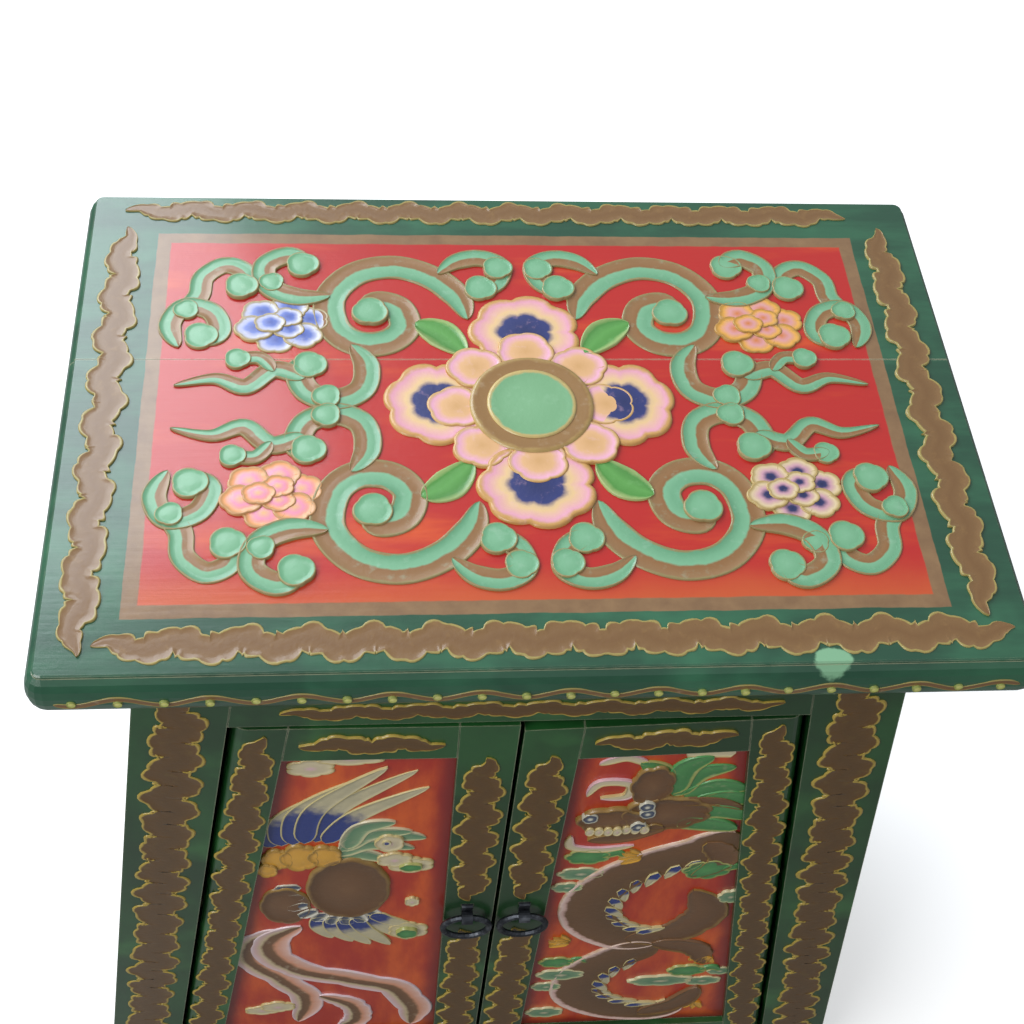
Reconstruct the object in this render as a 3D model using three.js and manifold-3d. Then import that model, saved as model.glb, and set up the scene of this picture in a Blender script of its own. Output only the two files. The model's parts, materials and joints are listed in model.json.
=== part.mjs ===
// A painted wooden cabinet: a moulded two-board top on a splayed frame with two panelled doors.
// The front is upright and the two sides lean outwards towards the floor. Each door turns on round
// wooden pivots, cut on its outer stile, that run in bores in the front rails along the slant.
// Millimetres, +Z up, the front faces -Y, the origin is on the floor under the middle of the body.
import * as THREE from "three";
import { mergeVertices } from "three/addons/utils/BufferGeometryUtils.js";
import Module from "manifold-3d";

const wasm = await Module();
wasm.setup();

// Driving dimensions
const HEIGHT = 800;
const SLOPE = 0.1475; // outward run of each side per millimetre of drop
const LEAN = Math.atan(SLOPE);
const HALF_WIDTH_AT_TOP = 229;
const GAP = 0.3; // room left round every joint
const OVERSHOOT = 1; // how far a cutting tool runs past the face it cuts
const FAR = 400; // beyond the body on every side
const WELD = 1e-4; // corners closer than this are one
const ROUND_STEPS = 24;

const TOP = { width: 600, depth: 410, thickness: 35, shift: 8.5, seamY: 41.5 };
const CORNER = { radius: 12, smallest: 1, steps: 4 };
const EDGE = { lip: 7.5, lipDrop: 2.4, bull: 9, steps: 8, startAngle: -1.25 };
const LIP = { roundOut: 1, roundDown: 0.8, draft: 0.1, overlap: 0.4 };
const TONGUE = { thickness: 9, reach: 8, endInset: 20 };

const POST = { width: 58.5, depth: 44 };
const RAIL = { height: 47, thickness: 34, bottomLow: 50 };
const FRONT = -187;
const BACK = 190;
const TENON = { thickness: 12, reach: 28, shoulder: 9 };
const SIDE = { recess: 2, thickness: 26, panel: 8, reach: 22 };
const GROOVE = 6;

const SHELF = { low: 380, thickness: 14, front: -158 };
const BEARER = { width: 16, height: 20 };
const BATTEN = { x: 138, width: 24, height: 20 };
const BACK_BOARDS = { front: 168, thickness: 10, seam: 84 };
const STOP = { height: 14, thickness: 13.5, gap: 0.5, endGap: 1 };

const DOOR = { thickness: 20, low: 100, high: 714.4, sideGap: 2.5, middleGap: 1.5 };
const DOOR_TOP_SLOPE = { left: 0.012, right: 0.05 };
const STILE = { outer: 35, inner: 38 };
const DOOR_RAIL = { top: 41, bottom: 45, tenon: 8, reach: 20, shoulder: 9 };
const PANEL = { thickness: 7, front: 6 };
const PIVOT = { radius: 5, length: 12, clearance: 0.6, depth: 15 };

const RING = { x: 22, eyeZ: 425, eyeY: -193, radius: 18, tube: 2.6, tubeSteps: 8, steps: 28 };
const STAPLE = { width: 8.5, eyeOuter: 5.4, eyeInner: 3.4, strap: 2, chamfer: 1.2, steps: 10 };
const TAIL = { low: 8, high: 12, clinch: 9 };

const UNDER_TOP = HEIGHT - TOP.thickness;
const RAIL_TOP_LOW = UNDER_TOP - RAIL.height;
const RAIL_BOTTOM_HIGH = RAIL.bottomLow + RAIL.height;
const POST_BACK_EDGE = FRONT + POST.depth;
const POST_FRONT_EDGE = BACK - POST.depth;
const DOOR_BACK = FRONT + DOOR.thickness;
const DOOR_EDGE = POST.width + DOOR.sideGap; // inward from the outer face of the post
const DOOR_PANEL_EDGE = DOOR_EDGE + STILE.outer;
const PIVOT_Y = FRONT + DOOR.thickness / 2;
const PIVOT_INSET = DOOR_EDGE + DOOR.thickness / 2 / Math.cos(LEAN);

const GREEN = new THREE.MeshStandardMaterial({ color: 0x2f5f3f, roughness: 0.35, metalness: 0 });
const RED = new THREE.MeshStandardMaterial({ color: 0xb83a1c, roughness: 0.38, metalness: 0 });
const WOOD = new THREE.MeshStandardMaterial({ color: 0x8a6a48, roughness: 0.75, metalness: 0 });
const IRON = new THREE.MeshStandardMaterial({ color: 0x4a4d52, roughness: 0.45, metalness: 0.8 });

// Solids

function toSolid(geometry) {
  const bare = geometry.clone();
  bare.deleteAttribute("normal");
  bare.deleteAttribute("uv");
  const merged = mergeVertices(bare, WELD);
  const vertProperties = new Float32Array(merged.attributes.position.array);
  const triVerts = new Uint32Array(merged.index.array);
  return new wasm.Manifold(new wasm.Mesh({ numProp: 3, vertProperties, triVerts }));
}

function toGeometry(solid) {
  const mesh = solid.getMesh();
  const geometry = new THREE.BufferGeometry();
  geometry.setAttribute("position", new THREE.BufferAttribute(mesh.vertProperties, 3));
  geometry.setIndex(new THREE.BufferAttribute(mesh.triVerts, 1));
  geometry.computeVertexNormals();
  return geometry;
}

const cut = (solid, ...tools) => tools.reduce((left, tool) => left.subtract(tool), solid);

// A prism along Y whose section is a list of [x, z] corners.
function prism(corners, front, back) {
  const shape = new THREE.Shape(corners.map(([x, z]) => new THREE.Vector2(x, z)));
  const geometry = new THREE.ExtrudeGeometry(shape, { depth: back - front, bevelEnabled: false });
  geometry.rotateX(Math.PI / 2);
  geometry.translate(0, back, 0);
  return toSolid(geometry);
}

const block = (x0, x1, front, back, low, high) =>
  prism([[x0, low], [x1, low], [x1, high], [x0, high]], front, back);

// Half of the body's width at a height.
const half = (z) => HALF_WIDTH_AT_TOP + SLOPE * (HEIGHT - z);

// A bar that leans with one side, between two distances inward from the body's outer face.
function leaningBar(side, outer, inner, low, high, front, back) {
  const corners = [
    [side * (half(low) - outer), low],
    [side * (half(high) - outer), high],
    [side * (half(high) - inner), high],
    [side * (half(low) - inner), low],
  ];
  return prism(corners, front, back);
}

// A board that reaches from side to side and stops a distance inward from both outer faces.
function spanning(inset, low, high, front, back) {
  const corners = [
    [inset - half(low), low],
    [half(low) - inset, low],
    [half(high) - inset, high],
    [inset - half(high), high],
  ];
  return prism(corners, front, back);
}

// A round bar on the door's slanted pivot axis, cut level at both ends.
function pivotBar(side, radius, low, high) {
  const middle = (low + high) / 2;
  const geometry = new THREE.CylinderGeometry(radius, radius, high - low + 4 * radius, ROUND_STEPS);
  geometry.rotateX(Math.PI / 2);
  geometry.rotateY(-side * LEAN);
  geometry.translate(side * (half(middle) - PIVOT_INSET), PIVOT_Y, middle);
  return toSolid(geometry).intersect(block(-FAR, FAR, -FAR, FAR, low, high));
}

// The scene

const cabinet = new THREE.Group();

function add(parent, name, solid, material) {
  const mesh = new THREE.Mesh(toGeometry(solid), material);
  mesh.name = name;
  parent.add(mesh);
  return mesh;
}

// Top: two boards with a moulded edge, joined by a tongue, on two battens

function roundedRing(inset) {
  const radius = Math.max(CORNER.radius - inset, CORNER.smallest);
  const x = TOP.width / 2 - inset - radius;
  const y = TOP.depth / 2 - inset - radius;
  const centres = [[x, y], [-x, y], [-x, -y], [x, -y]];
  return centres.flatMap(([cx, cy], quarter) =>
    Array.from({ length: CORNER.steps + 1 }, (_, step) => {
      const angle = ((quarter + step / CORNER.steps) * Math.PI) / 2;
      return [cx + radius * Math.cos(angle), cy + radius * Math.sin(angle)];
    }),
  );
}

function edgeProfile() {
  const lipFace = EDGE.lip - LIP.roundOut;
  const points = [[EDGE.lip, 0], [lipFace, LIP.roundDown], [lipFace + LIP.draft, EDGE.lipDrop]];
  const halfHeight = (TOP.thickness - EDGE.lipDrop) / 2 + LIP.overlap;
  const middle = TOP.thickness - halfHeight;
  for (let i = 0; i <= EDGE.steps; i++) {
    const angle = EDGE.startAngle + ((Math.PI / 2 - EDGE.startAngle) * i) / EDGE.steps;
    points.push([EDGE.bull * (1 - Math.cos(angle)), middle + halfHeight * Math.sin(angle)]);
  }
  return points;
}

function mouldedSlab() {
  const profile = edgeProfile();
  const rings = profile.map(([inset, drop]) => roundedRing(inset).map(([x, y]) => [x, y, -drop]));
  const count = rings[0].length;
  const positions = rings.flat(2);
  const index = [];
  for (let r = 0; r + 1 < rings.length; r++)
    for (let j = 0; j < count; j++) {
      const next = (j + 1) % count;
      const [a, b] = [r * count + j, r * count + next];
      const [c, d] = [a + count, b + count];
      index.push(a, c, b, b, c, d);
    }
  const topCentre = positions.length / 3;
  positions.push(0, 0, 0, 0, 0, -TOP.thickness);
  const last = (rings.length - 1) * count;
  for (let j = 0; j < count; j++) {
    const next = (j + 1) % count;
    index.push(topCentre, j, next, topCentre + 1, last + next, last + j);
  }
  const geometry = new THREE.BufferGeometry();
  geometry.setAttribute("position", new THREE.Float32BufferAttribute(positions, 3));
  geometry.setIndex(index);
  return toSolid(geometry);
}

function buildTop() {
  const top = new THREE.Group();
  top.position.set(TOP.shift, 0, HEIGHT);
  const slab = mouldedSlab();
  const reach = TOP.width / 2 - TONGUE.endInset;
  const middle = -TOP.thickness / 2;
  const tongue = (grow) =>
    block(
      -reach - grow,
      reach + grow,
      TOP.seamY - OVERSHOOT,
      TOP.seamY + TONGUE.reach + grow,
      middle - TONGUE.thickness / 2 - grow,
      middle + TONGUE.thickness / 2 + grow,
    );
  const frontHalf = block(-FAR, FAR, -FAR, TOP.seamY, -FAR, FAR);
  const backHalf = block(-FAR, FAR, TOP.seamY + GAP, FAR, -FAR, FAR);
  add(top, "top_board_front", slab.intersect(frontHalf).add(tongue(0)), GREEN);
  add(top, "top_board_back", cut(slab.intersect(backHalf), tongue(GAP)), GREEN);
  cabinet.add(top);
  for (const [name, side] of SIDES) {
    const middle = side * (BATTEN.x + BATTEN.width / 2);
    const batten = block(
      middle - BATTEN.width / 2,
      middle + BATTEN.width / 2,
      FRONT + RAIL.thickness,
      BACK - RAIL.thickness,
      UNDER_TOP - BATTEN.height,
      UNDER_TOP,
    );
    add(cabinet, `top_batten_${name}`, batten, WOOD);
  }
}

// Frame: four leaning posts, front and back rails, side rails and grooved side panels

const SIDES = [["left", -1], ["right", 1]];
const LEVELS = [["bottom", RAIL.bottomLow, RAIL_BOTTOM_HIGH], ["top", RAIL_TOP_LOW, UNDER_TOP]];
const FRONT_TENON = FRONT + (RAIL.thickness - TENON.thickness) / 2;
const BACK_TENON = BACK - (RAIL.thickness + TENON.thickness) / 2;

const crossTenon = (low, high, front, grow) =>
  spanning(
    POST.width - TENON.reach - grow,
    low + TENON.shoulder - grow,
    high - TENON.shoulder + grow,
    front - grow,
    front + TENON.thickness + grow,
  );

const crossRail = (low, high, front, tenonFront) =>
  spanning(POST.width + GAP, low, high, front, front + RAIL.thickness).add(
    crossTenon(low, high, tenonFront, 0),
  );

const PANEL_OUTER = SIDE.recess + (SIDE.thickness - SIDE.panel) / 2;

const sidePanel = (side, grow) =>
  leaningBar(
    side,
    PANEL_OUTER - grow,
    PANEL_OUTER + SIDE.panel + grow,
    RAIL_BOTTOM_HIGH - GROOVE - grow,
    RAIL_TOP_LOW + GROOVE + grow,
    POST_BACK_EDGE - GROOVE - grow,
    POST_FRONT_EDGE + GROOVE + grow,
  );

const sideTenon = (side, low, high, grow) =>
  leaningBar(
    side,
    PANEL_OUTER - grow,
    PANEL_OUTER + SIDE.panel + grow,
    low + TENON.shoulder - grow,
    high - TENON.shoulder + grow,
    POST_BACK_EDGE - SIDE.reach - grow,
    POST_FRONT_EDGE + SIDE.reach + grow,
  );

function sideRail(side, low, high) {
  const inner = SIDE.recess + SIDE.thickness;
  const bar = leaningBar(side, SIDE.recess, inner, low, high, POST_BACK_EDGE + GAP, POST_FRONT_EDGE - GAP);
  return cut(bar.add(sideTenon(side, low, high, 0)), sidePanel(side, GAP));
}

// A strip on the inside of the side, housed at both ends in the posts, that carries boards.
const bearer = (side, high, grow) =>
  leaningBar(
    side,
    SIDE.recess + SIDE.thickness + GAP - grow,
    SIDE.recess + SIDE.thickness + GAP + BEARER.width + grow,
    high - BEARER.height - grow,
    high + grow,
    POST_BACK_EDGE - GROOVE - grow,
    POST_FRONT_EDGE + GROOVE + grow,
  );

const BOARD_LEVELS = [
  ["bottom", RAIL_BOTTOM_HIGH - SHELF.thickness, FRONT + RAIL.thickness + GAP],
  ["shelf", SHELF.low, SHELF.front],
];

const backPanel = (grow) =>
  spanning(
    POST.width - GROOVE - grow,
    RAIL_BOTTOM_HIGH - GROOVE - grow,
    RAIL_TOP_LOW + GROOVE + grow,
    BACK_BOARDS.front - grow,
    BACK_BOARDS.front + BACK_BOARDS.thickness + grow,
  );

function post(side, front, tenonFront) {
  const bar = leaningBar(side, 0, POST.width, 0, UNDER_TOP, front, front + POST.depth);
  const mortises = LEVELS.flatMap(([, low, high]) => [
    crossTenon(low, high, tenonFront, GAP),
    sideTenon(side, low, high, GAP),
  ]);
  const housings = BOARD_LEVELS.map(([, low]) => bearer(side, low, GAP));
  return cut(bar, ...mortises, ...housings, sidePanel(side, GAP));
}

function buildFrame() {
  const frame = new THREE.Group();
  for (const [name, side] of SIDES) {
    add(frame, `post_front_${name}`, post(side, FRONT, FRONT_TENON), GREEN);
    add(frame, `post_back_${name}`, cut(post(side, POST_FRONT_EDGE, BACK_TENON), backPanel(GAP)), GREEN);
    add(frame, `side_panel_${name}`, sidePanel(side, 0), GREEN);
    for (const [level, low, high] of LEVELS)
      add(frame, `side_${level}_rail_${name}`, sideRail(side, low, high), GREEN);
    for (const [level, low] of BOARD_LEVELS)
      add(frame, `${level}_bearer_${name}`, bearer(side, low, 0), WOOD);
  }
  for (const [level, low, high] of LEVELS) {
    const bores = SIDES.map(([, side]) => railBore(side, level));
    const frontRail = cut(crossRail(low, high, FRONT, FRONT_TENON), ...bores);
    add(frame, `front_${level}_rail`, frontRail, GREEN);
    const backRail = cut(crossRail(low, high, BACK - RAIL.thickness, BACK_TENON), backPanel(GAP));
    add(frame, `back_${level}_rail`, backRail, WOOD);
  }
  const stopFront = DOOR_BACK + STOP.gap;
  const stop = spanning(
    POST.width + STOP.endGap,
    RAIL_TOP_LOW - STOP.height,
    RAIL_TOP_LOW,
    stopFront,
    stopFront + STOP.thickness,
  );
  add(frame, "door_stop", stop, WOOD);
  cabinet.add(frame);
}

// A blind bore for a door pivot, in the face of a front rail that meets the door.
function railBore(side, level) {
  const radius = PIVOT.radius + PIVOT.clearance;
  return level === "top"
    ? pivotBar(side, radius, RAIL_TOP_LOW - OVERSHOOT, RAIL_TOP_LOW + PIVOT.depth)
    : pivotBar(side, radius, RAIL_BOTTOM_HIGH - PIVOT.depth, RAIL_BOTTOM_HIGH + OVERSHOOT);
}

// Boards: three in the back, two on the bottom and two on the shelf

function buildBoards() {
  const boards = new THREE.Group();
  const seam = BACK_BOARDS.seam;
  const cuts = [["left", -FAR, -seam - GAP], ["middle", -seam, seam], ["right", seam + GAP, FAR]];
  for (const [name, x0, x1] of cuts) {
    const slice = block(x0, x1, -FAR, FAR, 0, HEIGHT);
    add(boards, `back_board_${name}`, backPanel(0).intersect(slice), WOOD);
  }
  const postRoom = SIDES.flatMap(([, side]) => [
    leaningBar(side, -OVERSHOOT, POST.width + GAP, 0, HEIGHT, FRONT, POST_BACK_EDGE + GAP),
    leaningBar(side, -OVERSHOOT, POST.width + GAP, 0, HEIGHT, POST_FRONT_EDGE - GAP, BACK),
  ]);
  for (const [name, low, front] of BOARD_LEVELS) {
    const inset = SIDE.recess + SIDE.thickness + GAP;
    const back = BACK - RAIL.thickness - GAP;
    const rows = [["front", front, -GAP / 2], ["back", GAP / 2, back]];
    for (const [row, y0, y1] of rows) {
      const board = spanning(inset, low, low + SHELF.thickness, y0, y1);
      add(boards, `${name}_board_${row}`, cut(board, ...postRoom), WOOD);
    }
  }
  cabinet.add(boards);
}

// Doors: two stiles and two rails round a grooved panel, with a linked ring pull

// A level or sloping line over the door, z = start + slope * |x|, and its meeting with a leaning line.
const heightOn = (line, x) => line.start + line.slope * x;

function meeting(line, inset) {
  const reach = HALF_WIDTH_AT_TOP + SLOPE * HEIGHT - inset;
  const z = (line.start + line.slope * reach) / (1 + line.slope * SLOPE);
  return [reach - SLOPE * z, z];
}

// A piece of door between an upright inner edge, a leaning outer edge, and two lines.
function doorPiece(side, inner, outerInset, lowLine, highLine, front, back) {
  const lowOuter = meeting(lowLine, outerInset);
  const highOuter = meeting(highLine, outerInset);
  const lowInner = [inner, heightOn(lowLine, inner)];
  const highInner = [inner, heightOn(highLine, inner)];
  return prism([lowInner, lowOuter, highOuter, highInner].map(([x, z]) => [side * x, z]), front, back);
}

const shifted = (line, by) => ({ start: line.start + by, slope: line.slope });

function doorLines(name) {
  const slope = DOOR_TOP_SLOPE[name];
  const outerCorner = half(DOOR.high) - DOOR_EDGE;
  const top = { start: DOOR.high - slope * outerCorner, slope };
  const bottom = { start: DOOR.low, slope: 0 };
  const underRail = shifted(top, -DOOR_RAIL.top);
  const overRail = shifted(bottom, DOOR_RAIL.bottom);
  return { top, bottom, underRail, overRail };
}

function doorTenon(side, low, high, grow) {
  const front = PIVOT_Y - DOOR_RAIL.tenon / 2;
  return doorPiece(
    side,
    DOOR.middleGap + STILE.inner - DOOR_RAIL.reach - grow,
    DOOR_PANEL_EDGE - DOOR_RAIL.reach - grow,
    shifted(low, DOOR_RAIL.shoulder - grow),
    shifted(high, grow - DOOR_RAIL.shoulder),
    front - grow,
    front + DOOR_RAIL.tenon + grow,
  );
}

function doorPanel(side, lines, grow) {
  return doorPiece(
    side,
    DOOR.middleGap + STILE.inner - GROOVE - grow,
    DOOR_PANEL_EDGE - GROOVE - grow,
    shifted(lines.overRail, -GROOVE - grow),
    shifted(lines.underRail, GROOVE + grow),
    FRONT + PANEL.front - grow,
    FRONT + PANEL.front + PANEL.thickness + grow,
  );
}

function outerStile(side, lines) {
  const inner = half(DOOR.high) - DOOR_PANEL_EDGE - STILE.outer;
  const outerInset = PIVOT_INSET - 2 * DOOR.thickness;
  const bar = leaningBar(side, PIVOT_INSET, DOOR_PANEL_EDGE, DOOR.low, DOOR.high, FRONT, DOOR_BACK);
  const edge = pivotBar(side, DOOR.thickness / 2, DOOR.low, DOOR.high);
  const outline = doorPiece(side, inner, outerInset, lines.bottom, lines.top, -FAR, FAR);
  const pivots = pivotBar(side, PIVOT.radius, DOOR.low - PIVOT.length, DOOR.high + PIVOT.length);
  return bar.add(edge).intersect(outline).add(pivots);
}

// A flat strap bent round the ring, pushed through the stile and clinched behind it.
function staple() {
  const tailEnd = DOOR_BACK - RING.eyeY + GAP;
  const clinchEnd = tailEnd + STAPLE.strap;
  const start = Math.PI / 4;
  const face = STAPLE.eyeOuter - STAPLE.strap;
  const shape = new THREE.Shape();
  shape.absarc(0, 0, STAPLE.eyeOuter, start, 2 * Math.PI, false);
  shape.lineTo(STAPLE.eyeOuter, TAIL.low);
  shape.lineTo(tailEnd, TAIL.low);
  shape.lineTo(tailEnd, TAIL.low - TAIL.clinch);
  shape.lineTo(clinchEnd, TAIL.low - TAIL.clinch);
  shape.lineTo(clinchEnd, TAIL.high + TAIL.clinch);
  shape.lineTo(tailEnd, TAIL.high + TAIL.clinch);
  shape.lineTo(tailEnd, TAIL.high);
  shape.lineTo(face + STAPLE.chamfer, TAIL.high);
  shape.lineTo(face, TAIL.high - STAPLE.chamfer);
  const eye = new THREE.Path();
  eye.absarc(0, 0, STAPLE.eyeInner, 0, 2 * Math.PI, true);
  shape.holes.push(eye);
  const geometry = new THREE.ExtrudeGeometry(shape, {
    depth: STAPLE.width,
    bevelEnabled: false,
    curveSegments: STAPLE.steps,
  });
  geometry.translate(0, 0, -STAPLE.width / 2);
  geometry.rotateX(Math.PI / 2);
  geometry.rotateZ(Math.PI / 2);
  return toSolid(geometry);
}

function stapleSlot(side) {
  const x = side * RING.x;
  const reach = STAPLE.width / 2 + GAP;
  const low = RING.eyeZ + TAIL.low - GAP;
  const high = RING.eyeZ + TAIL.high + GAP;
  return block(x - reach, x + reach, FRONT - OVERSHOOT, DOOR_BACK + OVERSHOOT, low, high);
}

function buildDoor(name, side) {
  const door = new THREE.Group();
  const lines = doorLines(name);
  const innerEdge = DOOR.middleGap + STILE.inner;
  const mortises = [
    doorTenon(side, lines.underRail, lines.top, GAP),
    doorTenon(side, lines.bottom, lines.overRail, GAP),
    doorPanel(side, lines, GAP),
  ];
  const innerCorners = [
    [side * DOOR.middleGap, DOOR.low],
    [side * innerEdge, DOOR.low],
    [side * innerEdge, heightOn(lines.top, innerEdge)],
    [side * DOOR.middleGap, heightOn(lines.top, DOOR.middleGap)],
  ];
  const innerStile = cut(prism(innerCorners, FRONT, DOOR_BACK), ...mortises, stapleSlot(side));
  add(door, `door_${name}_outer_stile`, cut(outerStile(side, lines), ...mortises), GREEN);
  add(door, `door_${name}_inner_stile`, innerStile, GREEN);
  const rails = [["top", lines.underRail, lines.top], ["bottom", lines.bottom, lines.overRail]];
  for (const [level, low, high] of rails) {
    const rail = doorPiece(side, innerEdge + GAP, DOOR_PANEL_EDGE + GAP, low, high, FRONT, DOOR_BACK);
    const whole = cut(rail.add(doorTenon(side, low, high, 0)), doorPanel(side, lines, GAP));
    add(door, `door_${name}_${level}_rail`, whole, GREEN);
  }
  add(door, `door_${name}_panel`, doorPanel(side, lines, 0), RED);

  const pull = new THREE.Group();
  pull.position.set(side * RING.x, RING.eyeY, RING.eyeZ);
  add(pull, `door_${name}_staple`, staple(), IRON);
  const loop = new THREE.TorusGeometry(RING.radius, RING.tube, RING.tubeSteps, RING.steps);
  const ring = new THREE.Mesh(loop, IRON);
  ring.name = `door_${name}_ring`;
  ring.position.z = -RING.radius;
  ring.rotation.x = Math.PI / 2;
  pull.add(ring);
  door.add(pull);
  cabinet.add(door);
}

buildTop();
buildFrame();
buildBoards();
for (const [name, side] of SIDES) buildDoor(name, side);

export default cabinet;
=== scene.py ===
import json
import math

import bpy
from mathutils import Matrix, Vector


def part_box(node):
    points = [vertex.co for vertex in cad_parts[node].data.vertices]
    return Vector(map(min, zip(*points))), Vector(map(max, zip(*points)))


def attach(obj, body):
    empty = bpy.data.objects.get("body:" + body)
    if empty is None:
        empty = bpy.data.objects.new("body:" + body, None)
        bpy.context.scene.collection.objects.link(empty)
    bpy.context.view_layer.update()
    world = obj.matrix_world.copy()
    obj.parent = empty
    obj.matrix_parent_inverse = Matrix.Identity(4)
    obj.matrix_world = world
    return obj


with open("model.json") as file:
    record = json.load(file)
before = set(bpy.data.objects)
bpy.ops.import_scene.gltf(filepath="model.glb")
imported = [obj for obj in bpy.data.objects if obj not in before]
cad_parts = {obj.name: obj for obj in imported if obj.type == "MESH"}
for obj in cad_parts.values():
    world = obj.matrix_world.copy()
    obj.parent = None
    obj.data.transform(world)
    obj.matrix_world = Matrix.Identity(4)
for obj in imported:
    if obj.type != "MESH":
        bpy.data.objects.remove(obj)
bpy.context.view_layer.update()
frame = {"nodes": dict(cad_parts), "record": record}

# The painted layout is in millimetres; the object's own sizes come from the frame.
MM = 0.001
TOP_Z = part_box("top_board_front")[1].z / MM
TOP_SHIFT = (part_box("top_board_front")[0].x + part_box("top_board_front")[1].x) / 2 / MM
EDGE_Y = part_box("top_board_front")[0].y / MM
FRONT_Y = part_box("front_top_rail")[0].y / MM
PANEL_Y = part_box("door_left_panel")[0].y / MM
SLOPE = 0.1475
HALF_AT_TOP = 229
FIELD_HALF = (238, 151.2)
FIELD_BAND = 9.5
PAINT_PATCH = {"x": 176, "y": -196, "width": 12, "depth": 8}
PANEL_OPENING = {"inner": 39.5, "outer": 96, "low": 145, "high": 672}
MEDALLION_X = 3
ORNAMENT_X = 2

# The photograph's camera, in metres, and the light on the object
CAMERA = {
    "lens": 55.0,
    "sensor": 36.0,
    "place": (-0.0984, -0.665, 1.570),
    "right": (0.9955, -0.0643, 0.0701),
    "up": (0.0092, 0.7986, 0.6017),
    "back": (-0.0946, -0.5984, 0.7956),
}
ROOM_LIGHT = 0.5
FLOOR_LIFT = 0.42
FLOOR_REACH = 12
LIGHTS = [
    {"name": "key", "place": (-2.0, -1.6, 2.6), "target": (0, 0, 0.5), "size": 1.6, "power": 54,
     "colour": (1, 1, 1)},
    {"name": "window", "place": (-1.3, 1.75, 2.35), "target": (-0.2, 0.1, 0.8), "size": 1.9,
     "power": 70, "colour": (0.86, 0.93, 1.0)},
]


def half_width(z):
    """Half of the body's width at a height."""
    return HALF_AT_TOP + SLOPE * (TOP_Z - z)


def build_camera():
    """The camera stands where the photograph was taken from."""
    data = bpy.data.cameras.new("camera")
    data.lens = CAMERA["lens"]
    data.sensor_width = CAMERA["sensor"]
    camera = bpy.data.objects.new("camera", data)
    bpy.context.scene.collection.objects.link(camera)
    axes = Matrix((CAMERA["right"], CAMERA["up"], CAMERA["back"]))
    camera.matrix_world = axes.transposed().to_4x4()
    camera.matrix_world.translation = Vector(CAMERA["place"])
    bpy.context.scene.camera = camera


# Materials

WEAR_FADE = 0.07
COAT_ROUGHNESS = 0.12


def srgb(code):
    """A hex colour as linear values."""
    parts = [int(code[i:i + 2], 16) / 255 for i in (0, 2, 4)]
    return [p / 12.92 if p <= 0.04045 else ((p + 0.055) / 1.055) ** 2.4 for p in parts] + [1.0]


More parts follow.
